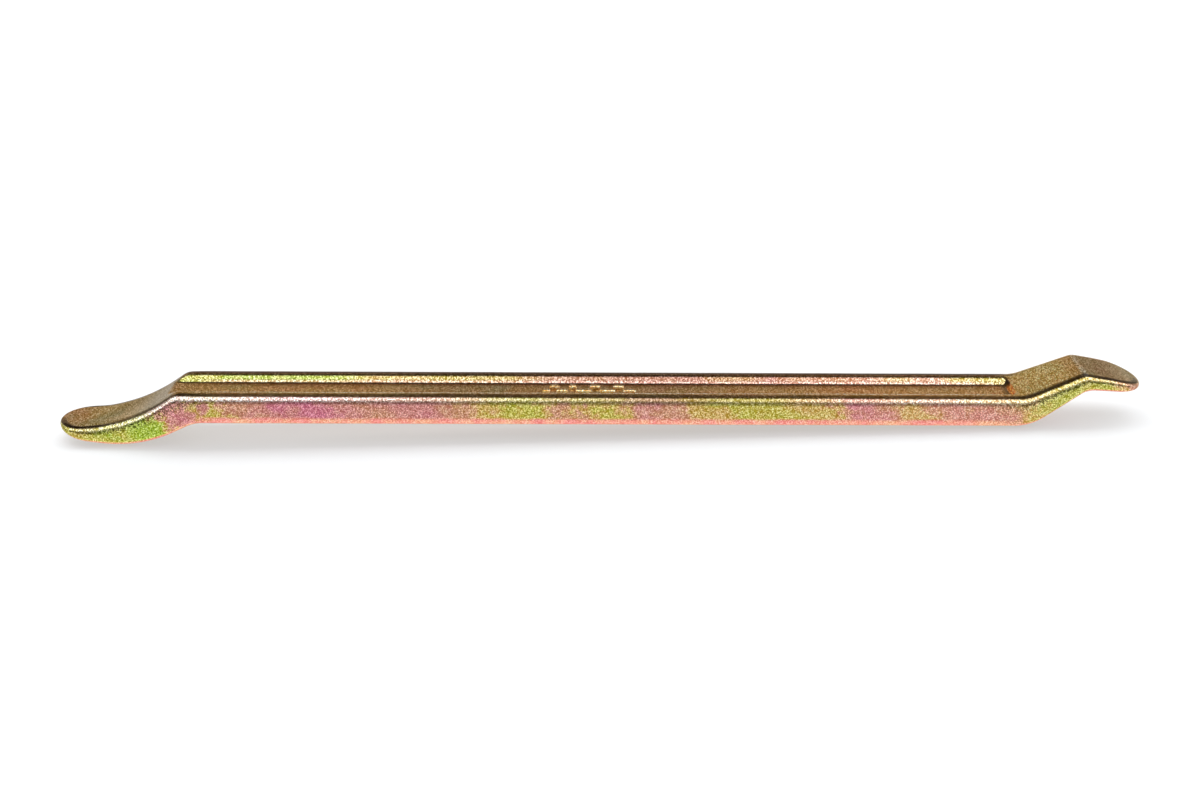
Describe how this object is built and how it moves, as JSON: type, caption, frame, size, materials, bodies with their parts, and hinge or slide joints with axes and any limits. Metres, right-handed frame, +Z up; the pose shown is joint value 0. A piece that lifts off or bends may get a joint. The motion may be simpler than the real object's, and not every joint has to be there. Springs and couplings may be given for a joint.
{
  "type": "tire lever",
  "caption": "One-piece forged steel tire lever with a dished spoon end, a hooked pry end and an I-section shank, finished in iridescent yellow zinc plating.",
  "frame": {"origin": "middle of the lever's box in plan, on the level surface that it lies on", "axes": "+X along the lever towards the hooked end, +Z up from the surface, +Y across; the lever is symmetric about y = 0"},
  "size_m": [0.4064, 0.0274, 0.0206],
  "materials": {
    "plated_steel": "yellow chromate zinc plating on forged steel, satin, with rose, gold and green interference tints and a fine grain"
  },
  "bodies": {
    "root": {"spoon_blade": "plated_steel", "spoon_neck": "plated_steel", "front_rail": "plated_steel", "shank_web": "plated_steel", "rear_rail": "plated_steel", "hook_ramp": "plated_steel", "hook_beak": "plated_steel"}
  },
  "joints": []
}
